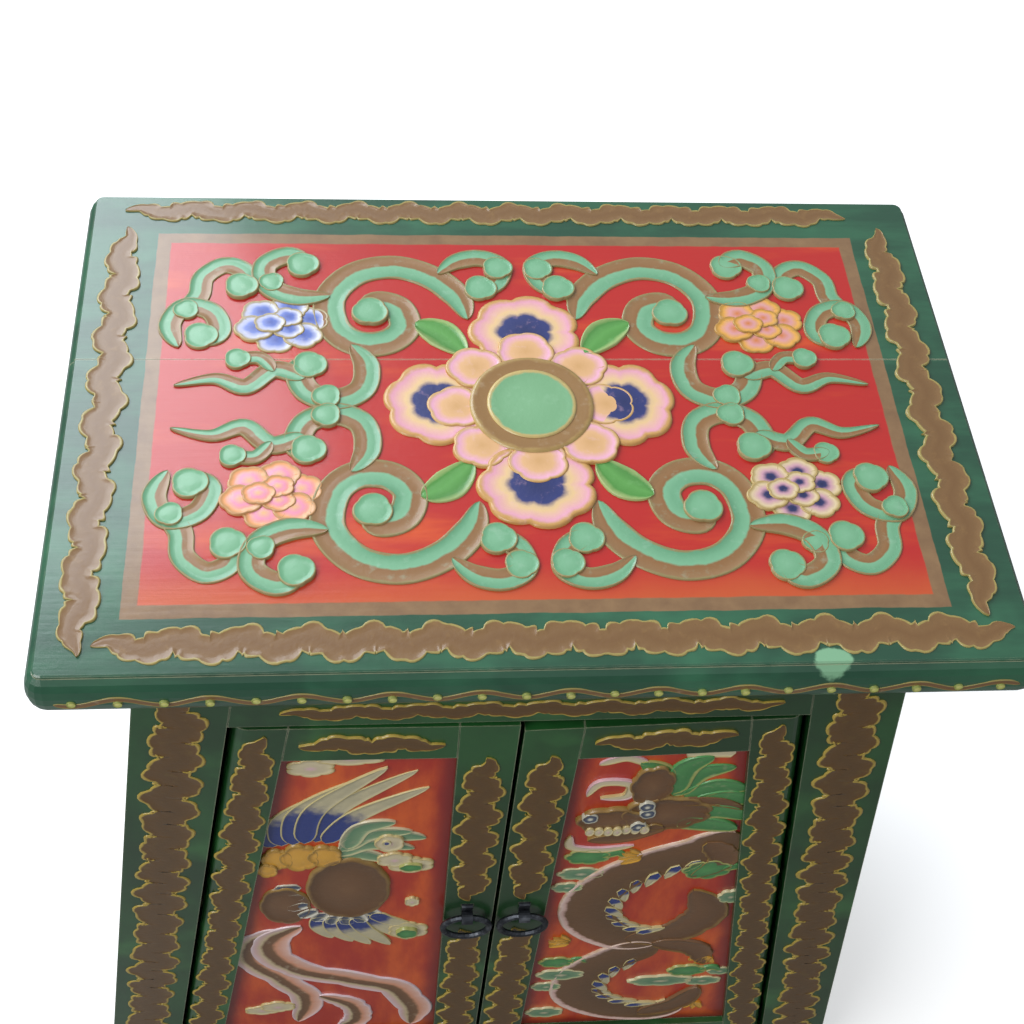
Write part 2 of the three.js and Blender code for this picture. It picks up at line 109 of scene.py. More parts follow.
class Nodes:
    """Builds one node material, with the object's own coordinates as its space."""

    def __init__(self, name, roughness=0.4, coat=0.0, metallic=0.0):
        self.material = bpy.data.materials.new(name)
        self.material.use_nodes = True
        self.tree = self.material.node_tree
        self.shader = self.tree.nodes["Principled BSDF"]
        self.shader.inputs["Roughness"].default_value = roughness
        self.shader.inputs["Coat Weight"].default_value = coat
        self.shader.inputs["Coat Roughness"].default_value = COAT_ROUGHNESS
        self.shader.inputs["Metallic"].default_value = metallic
        self.place = self.add("ShaderNodeTexCoord").outputs["Object"]

    def add(self, kind, **settings):
        node = self.tree.nodes.new(kind)
        for key, value in settings.items():
            setattr(node, key, value)
        return node

    def plug(self, socket, value):
        if isinstance(value, bpy.types.NodeSocket):
            self.tree.links.new(value, socket)
        else:
            socket.default_value = value

    def math(self, operation, a, b=0.0, clamp=False):
        node = self.add("ShaderNodeMath", operation=operation, use_clamp=clamp)
        self.plug(node.inputs[0], a)
        self.plug(node.inputs[1], b)
        return node.outputs[0]

    def axes(self):
        node = self.add("ShaderNodeSeparateXYZ")
        self.plug(node.inputs[0], self.place)
        return node.outputs

    def stretched(self, scale):
        node = self.add("ShaderNodeMapping")
        self.plug(node.inputs["Vector"], self.place)
        node.inputs["Scale"].default_value = scale
        return node.outputs[0]

    def noise(self, scale, detail=4.0, vector=None, rough=0.6):
        node = self.add("ShaderNodeTexNoise")
        self.plug(node.inputs["Vector"], self.place if vector is None else vector)
        node.inputs["Scale"].default_value = scale
        node.inputs["Detail"].default_value = detail
        node.inputs["Roughness"].default_value = rough
        return node.outputs["Fac"]

    def steps(self, value, low, high):
        """0 under low, 1 over high, smooth between."""
        node = self.add("ShaderNodeMapRange", interpolation_type="SMOOTHSTEP")
        self.plug(node.inputs["Value"], value)
        node.inputs["From Min"].default_value = low
        node.inputs["From Max"].default_value = high
        return node.outputs[0]

    def mix(self, share, a, b):
        node = self.add("ShaderNodeMix", data_type="RGBA")
        self.plug(node.inputs["Factor"], share)
        self.plug(node.inputs["A"], a)
        self.plug(node.inputs["B"], b)
        return node.outputs["Result"]

    def attribute(self, name):
        return self.add("ShaderNodeAttribute", attribute_name=name).outputs["Fac"]

    def ramp(self, value, stops):
        node = self.add("ShaderNodeValToRGB")
        self.plug(node.inputs[0], value)
        elements = node.color_ramp.elements
        while len(elements) < len(stops):
            elements.new(0.5)
        for element, (position, code) in zip(elements, stops):
            element.position = position
            element.color = srgb(code)
        return node.outputs["Color"]

    def edges(self, radius):
        """How far a rounded normal departs from the face's own: high along sharp edges."""
        bevel = self.add("ShaderNodeBevel", samples=6)
        bevel.inputs["Radius"].default_value = radius
        dot = self.add("ShaderNodeVectorMath", operation="DOT_PRODUCT")
        self.plug(dot.inputs[0], bevel.outputs[0])
        self.plug(dot.inputs[1], self.add("ShaderNodeNewGeometry").outputs["Normal"])
        return self.math("SUBTRACT", 1.0, dot.outputs["Value"])

    def finish(self, colour, height=None, strength=0.15, distance=0.0006, roughness=None):
        self.plug(self.shader.inputs["Base Color"], colour)
        if roughness is not None:
            self.plug(self.shader.inputs["Roughness"], roughness)
        if height is not None:
            bump = self.add("ShaderNodeBump")
            bump.inputs["Strength"].default_value = strength
            bump.inputs["Distance"].default_value = distance
            self.plug(bump.inputs["Height"], height)
            self.plug(self.shader.inputs["Normal"], bump.outputs[0])
        return self.material


def worn(nodes, colour, amount=0.09):
    """Pale wear along sharp edges, and a few chips."""
    uneven = nodes.math("MULTIPLY", nodes.edges(0.0022), nodes.noise(160, 5))
    rubbed = nodes.steps(uneven, amount, amount + WEAR_FADE)
    return nodes.mix(nodes.math("MULTIPLY", rubbed, 0.75), colour, srgb("b7b79a"))


def green_layers(nodes, dark, middle, light):
    """Brushed green in three shades."""
    brushed = nodes.noise(9, 5, nodes.stretched((1.0, 5.0, 0.6)))
    cloudy = nodes.noise(14, 3)
    colour = nodes.mix(nodes.steps(brushed, 0.35, 0.7), srgb(dark), srgb(middle))
    lit = nodes.math("MULTIPLY", nodes.steps(cloudy, 0.5, 0.8), 0.6)
    return nodes.mix(lit, colour, srgb(light))


def green_paint():
    """Varnished green of the posts, rails and stiles."""
    nodes = Nodes("green_paint", 0.34, coat=0.35)
    grain = nodes.noise(26, 6, nodes.stretched((1.2, 7.0, 0.35)))
    colour = green_layers(nodes, "123a18", "1f5526", "3c7a3e")
    return nodes.finish(worn(nodes, colour), grain, 0.25)


def red_layers(nodes):
    """Crimson with orange streaks along the boards."""
    streaks = nodes.noise(7, 5, nodes.stretched((0.7, 3.6, 0.7)))
    colour = nodes.mix(nodes.steps(streaks, 0.5, 0.78), srgb("b7201b"), srgb("d2501c"))
    return nodes.mix(nodes.steps(nodes.noise(5, 3), 0.52, 0.8), colour, srgb("a4161e"))


def top_paint():
    """Green border, brown band and red field, by place on the top face."""
    nodes = Nodes("top_paint", 0.3, coat=0.5)
    x, y, z = nodes.axes()
    across = nodes.math("ABSOLUTE", nodes.math("SUBTRACT", x, TOP_SHIFT * MM))
    along = nodes.math("ABSOLUTE", y)
    wobble = nodes.math("MULTIPLY", nodes.math("SUBTRACT", nodes.noise(40, 3), 0.5), 0.0022)
    outside = nodes.math(
        "MAXIMUM",
        nodes.math("SUBTRACT", across, FIELD_HALF[0] * MM),
        nodes.math("SUBTRACT", along, FIELD_HALF[1] * MM),
    )
    outside = nodes.math("ADD", outside, wobble)
    on_top = nodes.steps(z, (TOP_Z - 1.2) * MM, (TOP_Z - 0.6) * MM)
    band_edge = nodes.steps(outside, (FIELD_BAND + 0.4) * MM, (FIELD_BAND - 0.4) * MM)
    in_band = nodes.math("MULTIPLY", band_edge, on_top)
    in_field = nodes.math("MULTIPLY", nodes.steps(outside, 0.0006, -0.0006), on_top)
    brown = nodes.mix(nodes.noise(60, 4), srgb("6b4c33"), srgb("9a7a54"))
    uneven = nodes.math("MULTIPLY", nodes.noise(12, 4), 0.03)
    warm = nodes.steps(nodes.math("ADD", y, uneven), -0.105, -0.14)
    field = nodes.mix(nodes.math("MULTIPLY", warm, 0.65), red_layers(nodes), srgb("c9622a"))
    top_green = green_layers(nodes, "1d4a35", "2b6044", "3b7a58")
    colour = nodes.mix(in_band, top_green, brown)
    colour = nodes.mix(in_field, colour, field)
    patch_x = nodes.math("SUBTRACT", x, PAINT_PATCH["x"] * MM)
    patch_y = nodes.math("SUBTRACT", y, PAINT_PATCH["y"] * MM)
    patch = nodes.math(
        "ADD",
        nodes.math("POWER", nodes.math("DIVIDE", patch_x, PAINT_PATCH["width"] * MM), 2.0),
        nodes.math("POWER", nodes.math("DIVIDE", patch_y, PAINT_PATCH["depth"] * MM), 2.0),
    )
    patch = nodes.steps(nodes.math("ADD", patch, nodes.noise(150, 3)), 1.6, 1.2)
    colour = nodes.mix(patch, colour, srgb("7fb08a"))
    grain = nodes.noise(22, 7, nodes.stretched((0.5, 9.0, 1.0)))
    dents = nodes.noise(220, 3)
    height = nodes.math("ADD", grain, nodes.math("MULTIPLY", dents, 0.5))
    return nodes.finish(worn(nodes, colour, 0.06), height, 0.22, 0.0008)


def panel_paint():
    """Orange-red with darker, shaded borders along the door frame."""
    nodes = Nodes("panel_paint", 0.36, coat=0.35)
    x, _, z = nodes.axes()
    across = nodes.math("ABSOLUTE", x)
    inner = nodes.math("SUBTRACT", across, PANEL_OPENING["inner"] * MM)
    lean = nodes.math("MULTIPLY", nodes.math("SUBTRACT", TOP_Z * MM, z), SLOPE)
    reach = (HALF_AT_TOP - PANEL_OPENING["outer"]) * MM
    outer = nodes.math("SUBTRACT", nodes.math("ADD", lean, reach), across)
    over = nodes.math("SUBTRACT", z, PANEL_OPENING["low"] * MM)
    under = nodes.math("SUBTRACT", PANEL_OPENING["high"] * MM, z)
    sideways = nodes.math("MINIMUM", inner, outer)
    near = nodes.math("MINIMUM", sideways, nodes.math("MINIMUM", over, under))
    near = nodes.math("ADD", near, nodes.math("MULTIPLY", nodes.noise(30, 4), 0.008))
    shade = nodes.steps(near, 0.02, 0.006)
    streaks = nodes.noise(8, 5, nodes.stretched((3.0, 1.0, 0.8)))
    colour = nodes.mix(nodes.steps(streaks, 0.38, 0.7), srgb("b3260f"), srgb("e0601a"))
    colour = nodes.mix(nodes.math("MULTIPLY", shade, 0.8), colour, srgb("7c1418"))
    return nodes.finish(colour, nodes.noise(30, 6, nodes.stretched((6.0, 1.0, 0.5))), 0.2)


def bare_wood(along):
    """Sawn wood whose grain runs along one axis."""
    nodes = Nodes(f"bare_wood_{along}", 0.72)
    coarse = [0.18 if axis == along else 2.0 for axis in "xyz"]
    thin = [0.1 if axis == along else 2.0 for axis in "xyz"]
    rings = nodes.noise(11, 7, nodes.stretched(coarse), 0.7)
    colour = nodes.mix(nodes.steps(rings, 0.3, 0.7), srgb("5d452c"), srgb("9b7a52"))
    fine = nodes.noise(90, 5, nodes.stretched(thin))
    dark_lines = nodes.math("MULTIPLY", nodes.steps(fine, 0.5, 0.8), 0.4)
    colour = nodes.mix(dark_lines, colour, srgb("3d2b1a"))
    return nodes.finish(colour, fine, 0.4)


def iron():
    """Dark forged iron with a little rust."""
    nodes = Nodes("iron", 0.45, metallic=0.85)
    spots = nodes.noise(120, 6)
    colour = nodes.mix(nodes.steps(spots, 0.45, 0.7), srgb("3c3f45"), srgb("6d7178"))
    rust = nodes.steps(nodes.noise(60, 4), 0.6, 0.75)
    colour = nodes.mix(nodes.math("MULTIPLY", rust, 0.4), colour, srgb("5a4030"))
    rough = nodes.math("ADD", nodes.math("MULTIPLY", spots, 0.3), 0.3)
    return nodes.finish(colour, spots, 0.5, 0.0006, rough)


PALE_MOTTLE = "c9b79a"


def ornament(name, stops, mottle=PALE_MOTTLE):
    """Colour by the relief's own 0 to 1 attribute, with brushed mottling and a grainy surface."""
    nodes = Nodes(name, 0.38, coat=0.3)
    wander = nodes.math("MULTIPLY", nodes.math("SUBTRACT", nodes.noise(90, 4), 0.5), 0.16)
    tone = nodes.math("ADD", nodes.attribute("tone"), wander, clamp=True)
    colour = nodes.ramp(tone, stops)
    spots = nodes.math("MULTIPLY", nodes.steps(nodes.noise(130, 5), 0.55, 0.75), 0.25)
    colour = nodes.mix(spots, colour, srgb(mottle))
    return nodes.finish(colour, nodes.noise(260, 4), 0.35, 0.0005)


# Raised ornament, drawn in millimetres on a face and lifted off it

def on_top(u, v, h):
    return Vector((TOP_SHIFT + u, v, TOP_Z + h)) * MM


def on_front(u, v, h):
    return Vector((u, FRONT_Y - h, v)) * MM


def on_panel(u, v, h):
    return Vector((u, PANEL_Y - h, v)) * MM


def on_edge(u, v, h):
    return Vector((TOP_SHIFT + u, EDGE_Y - h, v)) * MM


# Across a stroke: place from -1 to 1, height in millimetres.
GESSO = [(-1.0, -0.4), (-0.98, 0.7), (-0.91, 1.0), (-0.83, 0.6), (-0.4, 0.7), (0.0, 0.75),
         (0.4, 0.7), (0.83, 0.6), (0.91, 1.0), (0.98, 0.7), (1.0, -0.4)]
# From the outline of a blob to its middle: share of its size, height in millimetres.
DOME = [(1.0, -0.4), (0.985, 0.8), (0.93, 1.15), (0.86, 0.7), (0.6, 0.8), (0.35, 0.95), (0.15, 1.0)]
THINNEST = 0.15
LOBE_POWER = 0.6
# Each stroke of a relief lies a little over the one before it, in turn.
LAYER = 0.32
LAYERS = 4


class Relief:
    """One mesh of many strokes and blobs that share a material and a face."""

    def __init__(self, name, face, material, body, slot="red_paint"):
        self.name, self.face, self.material = name, face, material
        self.body, self.slot = body, slot
        self.points, self.tones, self.runs, self.faces = [], [], [], []
        self.layer = 0.0

    def next_layer(self):
        self.layer = (self.layer + LAYER) % (LAYER * LAYERS)
        return self

    def put(self, u, v, h, tone, run):
        self.points.append(self.face(u, v, h))
        self.tones.append(tone)
        self.runs.append(run)
        return len(self.points) - 1

    def stroke(self, points, width, taper=(0.25, 0.25), lift=1.0, steps=8, wave=None):
        """A band along a smooth curve through points, tapering to both ends."""
        line = smooth(points, steps)
        count = len(line)
        rows = []
        for i, (u, v) in enumerate(line):
            t = i / (count - 1)
            ahead, behind = line[min(i + 1, count - 1)], line[max(i - 1, 0)]
            du, dv = ahead[0] - behind[0], ahead[1] - behind[1]
            size = math.hypot(du, dv)
            reach = max(width / 2 * ease(t / taper[0]) * ease((1 - t) / taper[1]), THINNEST)
            left = right = reach
            if wave:
                left, right = wave(t * length_of(line), reach)
            row = []
            for s, h in GESSO:
                aside = s * (left if s < 0 else right) / size
                rise = h if h < 0 else self.layer + h * lift
                row.append(self.put(u - aside * dv, v + aside * du, rise, s / 2 + 0.5, t))
            rows.append(row)
        for a, b in zip(rows, rows[1:]):
            for k in range(len(a) - 1):
                self.faces.append((a[k], b[k], b[k + 1], a[k + 1]))
        return self.next_layer()

    def blob(self, outline, lift=1.0, base=0.0):
        """A domed shape with a raised rim, from a closed outline that its centre sees whole."""
        cu, cv = (sum(p[k] for p in outline) / len(outline) for k in (0, 1))
        base += self.layer
        rows = []
        for scale, h in DOME:
            rise = h if h < 0 else base + h * lift
            rows.append([
                self.put(cu + (u - cu) * scale, cv + (v - cv) * scale, rise, 1 - scale, scale)
                for u, v in outline
            ])
        middle = self.put(cu, cv, base + lift, 1.0, 0.0)
        count = len(outline)
        for a, b in zip(rows, rows[1:]):
            for k in range(count):
                n = (k + 1) % count
                self.faces.append((a[k], a[n], b[n], b[k]))
        for k in range(count):
            self.faces.append((rows[-1][k], rows[-1][(k + 1) % count], middle))
        return self.next_layer()

    def build(self):
        mesh = bpy.data.meshes.new(self.name)
        mesh.from_pydata([tuple(p) for p in self.points], [], self.faces)
        attribute = mesh.attributes.new("tone", "FLOAT", "POINT")
        attribute.data.foreach_set("value", self.tones)
        attribute = mesh.attributes.new("run", "FLOAT", "POINT")
        attribute.data.foreach_set("value", self.runs)
        mesh.shade_smooth()
        mesh.materials.append(self.material)
        piece = bpy.data.objects.new(self.name, mesh)
        bpy.context.scene.collection.objects.link(piece)
        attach(piece, self.body)
        return piece


def ease(t):
    """0 at 0 and 1 from 1 on, round between."""
    t = max(0.0, min(1.0, t))
    return math.sin(t * math.pi / 2) ** 0.7


def length_of(line):
    return sum(math.dist(a, b) for a, b in zip(line, line[1:]))


def smooth(points, steps):
    """A Catmull-Rom curve through the points."""
    ends = [points[0]] + list(points) + [points[-1]]
    line = []
    for a, b, c, d in zip(ends, ends[1:], ends[2:], ends[3:]):
        for i in range(steps):
            t = i / steps
            line.append(tuple(
                0.5 * (2 * b[k] + (c[k] - a[k]) * t + (2 * a[k] - 5 * b[k] + 4 * c[k] - d[k]) * t * t
                       + (3 * b[k] - a[k] - 3 * c[k] + d[k]) * t ** 3)
                for k in (0, 1)
            ))
    return line + [tuple(points[-1])]


def lobed(u, v, ru, rv, lobes, depth=0.16, turn=0.0, count=60):
    """A closed outline of round lobes about a middle."""
    outline = []
    for i in range(count):
        a = 2 * math.pi * i / count
        r = 1 - depth + depth * abs(math.sin(lobes * a / 2 + turn)) ** LOBE_POWER
        outline.append((u + ru * r * math.cos(a), v + rv * r * math.sin(a)))
    return outline


def small_lobes(s, lobe, depth):
    """Shares of the full width on the left and the right of a stroke, a way s along it."""
    left = 1 - depth + depth * abs(math.sin(math.pi * s / lobe)) ** LOBE_POWER
    right = 1 - depth + depth * abs(math.cos(math.pi * s / lobe)) ** LOBE_POWER
    return left, right


def ragged(lobe, depth):
    """Small lobes along both edges of a stroke."""
    def wave(s, reach):
        left, right = small_lobes(s, lobe, depth)
        return reach * left, reach * right
    return wave


def cloud_band(relief, start, end, width, pitch=38.0, lobe=9.5, tip=42):
    """The wavy ribbon with small lobes along both edges that runs on every border."""
    length = math.dist(start, end)
    count = int(length / 1.4)
    du, dv = (end[0] - start[0]) / length, (end[1] - start[1]) / length
    sway = width * 0.13
    line = []
    for i in range(count + 1):
        s = length * i / count
        off = sway * math.sin(2 * math.pi * s / pitch)
        line.append((start[0] + du * s - dv * off, start[1] + dv * s + du * off))

    def lobes(s, reach):
        swell = 0.84 + 0.1 * math.cos(4 * math.pi * s / pitch)
        left, right = small_lobes(s, lobe, 0.26 * min(1.0, reach / (width * 0.25)))
        return reach * swell * left, reach * swell * right

    share = min(0.4, tip / length)
    relief.stroke(line, width * 1.1, taper=(share, share), steps=1, lift=0.8, wave=lobes)


# The scrolls of one quarter of the top, mirrored into the other three.
SCROLLS = [
    ([(37, 78), (43, 99), (60, 118), (86, 128), (113, 121), (130, 98), (127, 70), (112, 56), (92, 57),
      (80, 70), (84, 88), (99, 93), (106, 82)], 17, (0.12, 0.1)),
    ([(116, 54), (106, 36), (109, 15), (126, 6), (144, 13), (150, 31), (140, 40)], 14, (0.2, 0.15)),
    ([(56, 121), (43, 133), (26, 137), (12, 129), (16, 113), (31, 104)], 12, (0.3, 0.15)),
    ([(130, 99), (153, 98), (171, 108), (175, 127), (160, 138), (145, 130)], 13, (0.25, 0.15)),
    ([(233, 82), (219, 98), (216, 117), (202, 129), (188, 122), (187, 104)], 12, (0.2, 0.15)),
    ([(229, 52), (236, 72), (227, 89), (209, 84), (203, 66), (216, 56)], 12, (0.2, 0.15)),
    ([(146, 24), (166, 32), (184, 17), (204, 24), (230, 18)], 11, (0.15, 0.7)),
    ([(166, 30), (176, 42), (192, 40)], 8, (0.3, 0.3)),
]
SCROLL_WIDTH = 1.32
# Root, middle and tip of the leaf in one quarter
LEAF = [(40, 46), (55, 64), (73, 74)]
# Middle, half sizes and the turn of the lobes
BIG_PETALS = [(3, 66, 39, 35, 0.0), (-58, 3, 36, 36, 0.8), (64, 2, 35, 36, 0.8),
              (2, -66, 39, 34, 0.0)]
# Round knobs at the scrolls' ends: place and radius
SCROLL_HEADS = [(103, 84, 13), (143, 36, 12), (27, 107, 12), (149, 129, 12), (190, 108, 12),
                (215, 62, 12), (190, 41, 9), (132, 8, 10), (14, 126, 11), (226, 86, 9), (170, 112, 9)]
HEAD_STOPS = [(0.0, "8f8053"), (0.06, "9a8a58"), (0.12, "6ba57c"), (1.0, "7cb28c")]
SCROLL_STOPS = [(0.0, "8f8053"), (0.06, "8f8053"), (0.1, "639c76"), (0.5, "79b08a"), (0.56, "8b6239"),
                (0.9, "93704a"), (0.94, "8f8053"), (1.0, "8f8053")]
BAND_STOPS = [(0.0, "9a8a50"), (0.05, "a39352"), (0.09, "80603a"), (0.5, "775632"), (0.91, "80603a"),
              (0.95, "a39352"), (1.0, "9a8a50")]
FRONT_BAND_STOPS = [(0.0, "a8903c"), (0.05, "b89e44"), (0.09, "64451a"), (0.5, "5c4019"),
                    (0.91, "64451a"), (0.95, "b89e44"), (1.0, "a8903c")]
# A flower's name, its middle and its colours from the rim inwards
CORNER_FLOWERS = [
    ("blue", (-160, 73),
     [(0.0, "b7a06c"), (0.1, "a99b74"), (0.25, "c9cbe0"), (0.6, "5f74c0"), (1.0, "3c4f9e")]),
    ("yellow", (166, 73),
     [(0.0, "a9803c"), (0.1, "b98a3e"), (0.25, "e0a548"), (0.6, "d99a9a"), (1.0, "cf7a3a")]),
    ("peach", (-163, -71),
     [(0.0, "b98a5a"), (0.1, "c2915e"), (0.25, "e8a36a"), (0.6, "e58fae"), (1.0, "e0b070")]),
    ("navy", (166, -71),
     [(0.0, "b39a60"), (0.1, "b39a60"), (0.25, "d8c39a"), (0.55, "c99aa8"), (0.8, "2a3060"),
      (1.0, "1c2450")]),
]


def build_top_ornament():
    """The lotus medallion, its leaves and scrolls, and a flower in each corner."""
    scroll = ornament("scroll_paint", SCROLL_STOPS, mottle="a8c8b0")
    scrolls = Relief("top_scrolls", on_top, scroll, "cabinet")
    head = ornament("scroll_head_paint", HEAD_STOPS, mottle="a8c8b0")
    heads = Relief("scroll_heads", on_top, head, "cabinet")
    for x_side in (-1, 1):
        for y_side in (-1, 1):
            for points, width, taper in SCROLLS:
                placed = [(x_side * x + ORNAMENT_X, y_side * y) for x, y in points]
                if x_side * y_side < 0:
                    placed = placed[::-1]
                    taper = taper[::-1]
                scrolls.stroke(placed, width * SCROLL_WIDTH, taper, lift=1.1)
            for x, y, size in SCROLL_HEADS:
                outline = lobed(x_side * x + ORNAMENT_X, y_side * y, size, size, 3, 0.14, x)
                heads.blob(outline, lift=1.0, base=0.9)
    scrolls.build()
    heads.build()

    petal = ornament("petal_paint", [(0.0, "b98a4a"), (0.08, "c79a5a"), (0.16, "e0a0b4"),
                                     (0.4, "e2bf8c"), (0.46, "d9b98e"), (0.56, "2c3670"),
                                     (1.0, "1f2a5c")], mottle="e8b8c8")
    petals = Relief("lotus_petals", on_top, petal, "cabinet")
    for u, v, ru, rv, turn in BIG_PETALS:
        petals.blob(lobed(u, v, ru, rv, 7, 0.14, turn), lift=1.1)
    petals.build()
    small = ornament("inner_petal_paint", [(0.0, "b98a4a"), (0.08, "caa56a"), (0.2, "e6aac2"),
                                           (0.5, "dcae7e"), (1.0, "cda06a")], mottle="eec4d6")
    inner = Relief("lotus_inner_petals", on_top, small, "cabinet")
    for i in range(8):
        a = math.pi / 4 * i + 0.02
        outline = lobed(MEDALLION_X + 49 * math.cos(a), 47 * math.sin(a), 20, 18, 5, 0.12, i)
        inner.blob(outline, lift=1.0, base=0.8)
    inner.build()
    brown = ornament("ring_paint", [(0.0, "b59a5c"), (0.1, "8f6b3e"), (1.0, "9c7848")])
    ring = Relief("lotus_ring", on_top, brown, "cabinet")
    ring.blob(lobed(MEDALLION_X, 0, 41, 41, 1, 0.0), lift=1.0, base=2.3)
    ring.build()
    green = ornament("disc_paint", [(0.0, "c9b070"), (0.07, "b9a468"), (0.12, "74a67a"),
                                    (1.0, "7cae82")], mottle="94c09a")
    disc = Relief("lotus_disc", on_top, green, "cabinet")
    disc.blob(lobed(MEDALLION_X, 0, 29.6, 29.6, 1, 0.0), lift=0.8, base=3.0)
    disc.build()

    leaf = ornament("leaf_paint", [(0.0, "9fb070"), (0.1, "8fae66"), (0.2, "4f8f3f"), (0.5, "5c9c4c"),
                                   (0.8, "4a873c"), (1.0, "9fb070")], mottle="7fb874")
    leaves = Relief("lotus_leaves", on_top, leaf, "cabinet")
    for x_side in (-1, 1):
        for y_side in (-1, 1):
            course = [(x_side * x + ORNAMENT_X, y_side * y) for x, y in LEAF]
            leaves.stroke(course, 25, (0.55, 0.55), lift=1.3)
    leaves.build()

    for name, (u, v), stops in CORNER_FLOWERS:
        paint = ornament(f"{name}_flower_paint", stops)
        flower = Relief(f"corner_flower_{name}", on_top, paint, "cabinet")
        for i in range(6):
            a = math.pi / 3 * i + 0.3
            outline = lobed(u + 19 * math.cos(a), v + 15 * math.sin(a), 14, 12, 5, 0.14, i)
            flower.blob(outline, lift=1.0)
        for i in range(3):
            a = 2 * math.pi / 3 * i + 1.1
            outline = lobed(u + 8 * math.cos(a), v + 6 * math.sin(a), 11, 9, 5, 0.14, i)
            flower.blob(outline, lift=0.9, base=0.9)
        flower.build()


# Ribbons on the top: start, end, width
TOP_BANDS = [
    ((-262, -179), (283, -179), 24),
    ((-272, 183), (248, 183), 20),
    ((-269, 166), (-272, -186), 24),
    ((269, -168), (267, 170), 24),
]
TOP_RAIL_BAND = ((-150, 734), (162, 734), 17)
POST_BAND = {"inset": 29, "low": 90, "high": 757, "width": 34}
OUTER_STILE_BAND = {"inset": 79, "low": 112, "high": 706, "width": 25}
# The doors' upper ribbons start at these heights, because their top edges slope differently.
UPPER_BAND_START = {"left": 692, "right": 688}


def door_bands(upper_start):
    """Ribbons of one door, measured from the cabinet's middle outwards: start, end, width."""
    return [
        ((21, 445), (21, 672), 28),
        ((21, 112), (21, 388), 28),
        ((48, upper_start), (140, 695), 22),
        ((48, 122), (214, 122), 24),
    ]


def leaning_band(relief, side, band):
    """A ribbon that leans with a post or an outer stile."""
    ends = [(side * (half_width(z) - band["inset"]), z) for z in (band["low"], band["high"])]
    cloud_band(relief, ends[0], ends[1], band["width"])


def build_bands():
    """The wavy ribbons of the top, the frame's front and the doors."""
    gold = ornament("cloud_band_paint", BAND_STOPS, mottle="9c7a48")
    top = Relief("top_cloud_bands", on_top, gold, "cabinet", "green_paint")
    for start, end, width in TOP_BANDS:
        cloud_band(top, start, end, width)
    top.build()
    gold = ornament("front_band_paint", FRONT_BAND_STOPS, mottle="7a6428")
    posts = Relief("post_cloud_bands", on_front, gold, "cabinet", "green_paint")
    for side in (-1, 1):
        leaning_band(posts, side, POST_BAND)
    cloud_band(posts, *TOP_RAIL_BAND)
    posts.build()
    for side, name in ((-1, "left"), (1, "right")):
        body = f"{name}_door"
        door = Relief(f"{name}_door_cloud_bands", on_front, gold, body, "green_paint")
        leaning_band(door, side, OUTER_STILE_BAND)
        for start, end, width in door_bands(UPPER_BAND_START[name]):
            cloud_band(door, (side * start[0], start[1]), (side * end[0], end[1]), width)
        door.build()


EDGE_LINE = {"start": -283, "step": 8.6, "count": 67, "drop": 18.5, "sway": 3.4, "width": 4.2}
EDGE_DOTS = {"start": -273, "pitch": 26, "count": 22, "drop": 19.5, "radius": 2.8}


def build_edge_line():
    """A waving line with raised dots along the front edge of the top."""
    gold = ornament("edge_line_paint", BAND_STOPS)
    line = Relief("edge_line", on_edge, gold, "cabinet", "green_paint")
    points = []
    for i in range(EDGE_LINE["count"]):
        u = EDGE_LINE["start"] + i * EDGE_LINE["step"]
        sway = EDGE_LINE["sway"] * math.sin(math.pi * u / EDGE_DOTS["pitch"])
        points.append((u, TOP_Z - EDGE_LINE["drop"] + sway))
    line.stroke(points, EDGE_LINE["width"], (0.01, 0.01), lift=0.5, steps=3)
    line.build()
    yellow = ornament("dot_paint", [(0.0, "8f9a50"), (0.4, "c4c46a"), (1.0, "d8d684")])
    dots = Relief("edge_dots", on_edge, yellow, "cabinet", "green_paint")
    radius = EDGE_DOTS["radius"]
    for i in range(EDGE_DOTS["count"]):
        u = EDGE_DOTS["start"] + i * EDGE_DOTS["pitch"]
        dots.blob(lobed(u, TOP_Z - EDGE_DOTS["drop"], radius, radius, 1, 0.0, count=12), lift=0.9)
    dots.build()


# The phoenix on the left panel and the dragon on the right one

def feather_paint():
    """Cream feathers with navy roots and a gold rim."""
    nodes = Nodes("feather_paint", 0.38, coat=0.3)
    away = nodes.math("ABSOLUTE", nodes.math("SUBTRACT", nodes.attribute("tone"), 0.5))
    run, uneven = nodes.attribute("run"), nodes.math("MULTIPLY", nodes.noise(90, 4), 0.3)
    root = nodes.steps(nodes.math("ADD", run, uneven), 0.72, 0.55)
    colour = nodes.mix(nodes.noise(70, 4), srgb("d8caa2"), srgb("a8a488"))
    colour = nodes.mix(root, colour, srgb("26397e"))
    colour = nodes.mix(nodes.steps(away, 0.4, 0.45), colour, srgb("c9bb84"))
    return nodes.finish(colour, nodes.noise(260, 4), 0.35, 0.0005)


